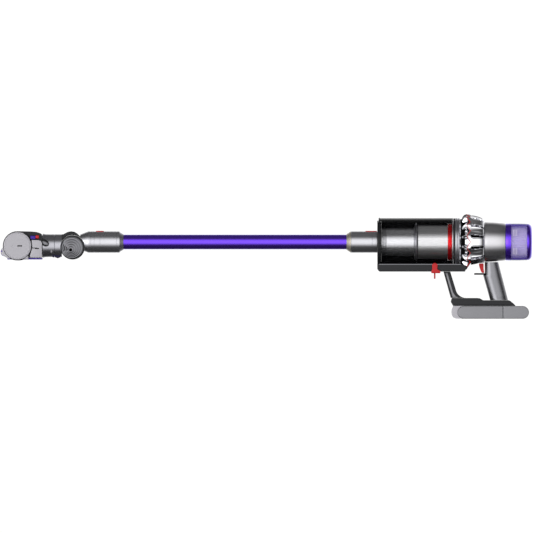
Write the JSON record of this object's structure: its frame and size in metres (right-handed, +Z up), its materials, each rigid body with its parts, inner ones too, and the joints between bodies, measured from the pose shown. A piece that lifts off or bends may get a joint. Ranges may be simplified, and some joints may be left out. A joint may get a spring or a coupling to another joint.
{
  "type": "cordless stick vacuum",
  "caption": "Cordless stick vacuum with a pistol grip, clear sliding dust bin, ring of cyclones, straight wand and soft-roller floor head.",
  "frame": {"origin": "centre of the battery pack's flat base, where the machine sits in its wall dock", "axes": "+X from the floor head towards the filter, along the wand; +Z up from the battery towards the bin"},
  "size_m": [1.2492, 0.25, 0.2458],
  "materials": {
    "nickel": "bright nickel look cyclone cones, satin",
    "satin_silver": "satin silver paint",
    "graphite": "dark grey, semi gloss",
    "dark_grey": "dark grey, satin",
    "mid_grey": "mid grey, fine texture",
    "light_grey": "light grey, satin",
    "purple_metal": "purple anodised, gloss",
    "purple_plastic": "purple, gloss",
    "filter_purple": "tinted translucent purple",
    "pleat_white": "pleated filter paper",
    "red": "red, gloss",
    "clear": "clear polycarbonate",
    "black": "black, satin",
    "rubber_black": "black, matte",
    "copper": "copper windings",
    "cell_green": "shrink sleeve on the cells",
    "nap": "soft purple woven nap",
    "steel_mesh": "perforated steel"
  },
  "bodies": {
    "main_unit": {"vortex_core": "dark_grey", "cyclone_collar": "nickel", "cyclone_front": "nickel", "cyclone_seal": "red", "cyclone_rear": "nickel", "shroud_band": "red", "shroud": "steel_mesh", "shroud_skirt": "rubber_black", "inlet_sleeve": "graphite", "inlet_duct": "black", "motor_housing": "satin_silver", "motor_stator": "copper", "rear_cover": "dark_grey", "handle_left": "mid_grey", "handle_right": "mid_grey", "trigger_switch": "black", "finger_guard": "black", "strut": "dark_grey", "base_bracket": "dark_grey", "battery_case": "mid_grey", "battery_end_cap": "mid_grey", "charge_socket": "black", "battery_cells": "cell_green", "battery_cradle": "light_grey", "bin_runner": "graphite"},
    "impeller": {"impeller": "graphite"},
    "mode_slider": {"mode_slider": "red"},
    "filter": {"filter_shell": "filter_purple", "filter_pleats": "pleat_white", "filter_seal": "rubber_black"},
    "trigger": {"trigger": "red"},
    "runner_button": {"runner_button": "red"},
    "bin": {"bin_shell": "clear", "bin_shoe": "dark_grey"},
    "bin_door": {"bin_door": "black", "door_seal": "rubber_black"},
    "release_lever": {"release_lever": "red"},
    "wand": {"wand_tube": "purple_metal", "wand_upper_collar": "graphite", "wand_lower_collar": "graphite"},
    "wand_release_button": {"wand_release_button": "red"},
    "head_connector": {"head_connector": "graphite", "pivot_barrel": "light_grey", "pivot_dome": "dark_grey", "pivot_cover_left": "light_grey", "pivot_cover_right": "light_grey"},
    "head_release_button": {"head_release_button": "red"},
    "neck": {"neck_rear": "graphite"},
    "neck_wheel_left": {"neck_wheel_left": "rubber_black"},
    "neck_wheel_right": {"neck_wheel_right": "rubber_black"},
    "floor_head": {"neck_front": "graphite", "head_housing": "dark_grey", "sole_plate": "purple_plastic", "front_bumper": "purple_plastic", "drive_end_cover": "light_grey", "side_block_left": "light_grey", "side_block_right": "light_grey"},
    "end_cap": {"end_cap": "light_grey"},
    "roller": {"roller_core": "dark_grey", "roller_sleeve": "nap"}
  },
  "joints": [
    {"name": "impeller_spin", "type": "hinge", "parent": "main_unit", "child": "impeller", "pos_m": [0, 0, 0.1806], "axis": [1, 0, 0], "continuous": true},
    {"name": "mode_slide", "type": "slide", "parent": "main_unit", "child": "mode_slider", "axis": [0, 1, 0], "range_m": [-0.006, 0.006]},
    {"name": "filter_pull", "type": "slide", "parent": "main_unit", "child": "filter", "axis": [1, 0, 0], "range_m": [0, 0.07]},
    {"name": "trigger_pull", "type": "slide", "parent": "main_unit", "child": "trigger", "axis": [1, 0, 0], "range_m": [0, 0.0045], "stiffness_N_per_m": 600, "springref_m": -0.003},
    {"name": "runner_button_press", "type": "slide", "parent": "main_unit", "child": "runner_button", "axis": [0, 0, 1], "range_m": [0, 0.0012], "stiffness_N_per_m": 500, "springref_m": -0.002},
    {"name": "bin_slide", "type": "slide", "parent": "main_unit", "child": "bin", "axis": [-1, 0, 0], "range_m": [0, 0.058]},
    {"name": "bin_door_swing", "type": "hinge", "parent": "bin", "child": "bin_door", "pos_m": [-0.264, 0, 0.1185], "axis": [0, -1, 0], "range_deg": [0, 100]},
    {"name": "lever_travel", "type": "slide", "parent": "bin", "child": "release_lever", "axis": [-1, 0, 0], "range_m": [0, 0.004], "stiffness_N_per_m": 400, "springref_m": -0.002},
    {"name": "wand_pull", "type": "slide", "parent": "main_unit", "child": "wand", "axis": [-1, 0, 0], "range_m": [0, 0.08]},
    {"name": "wand_button_press", "type": "slide", "parent": "wand", "child": "wand_release_button", "axis": [0, 0, -1], "range_m": [0, 0.002], "stiffness_N_per_m": 800, "springref_m": -0.002},
    {"name": "head_pull", "type": "slide", "parent": "wand", "child": "head_connector", "axis": [-1, 0, 0], "range_m": [0, 0.06]},
    {"name": "head_button_press", "type": "slide", "parent": "head_connector", "child": "head_release_button", "axis": [0, 0, -1], "range_m": [0, 0.002], "stiffness_N_per_m": 800, "springref_m": -0.002},
    {"name": "neck_pitch", "type": "hinge", "parent": "head_connector", "child": "neck", "pos_m": [-0.9827, 0, 0.1679], "axis": [0, -1, 0], "range_deg": [0, 88]},
    {"name": "wheel_left_spin", "type": "hinge", "parent": "neck", "child": "neck_wheel_left", "pos_m": [-1.0175, -0.0085, 0.1484], "axis": [0, 1, 0], "continuous": true},
    {"name": "wheel_right_spin", "type": "hinge", "parent": "neck", "child": "neck_wheel_right", "pos_m": [-1.0175, 0.0085, 0.1484], "axis": [0, 1, 0], "continuous": true},
    {"name": "neck_swivel", "type": "hinge", "parent": "neck", "child": "floor_head", "pos_m": [-1.0253, 0, 0.172], "axis": [1, 0, 0], "range_deg": [-60, 60]},
    {"name": "end_cap_turn", "type": "hinge", "parent": "floor_head", "child": "end_cap", "pos_m": [-1.1113, -0.125, 0.1714], "axis": [0, 1, 0], "range_deg": [0, 90]},
    {"name": "roller_spin", "type": "hinge", "parent": "floor_head", "child": "roller", "pos_m": [-1.1113, 0, 0.1714], "axis": [0, 1, 0], "continuous": true}
  ],
  "couplings": [
    {"joint": "bin_door_swing", "follows": "bin_slide", "rad_per_m": 30.091}
  ]
}
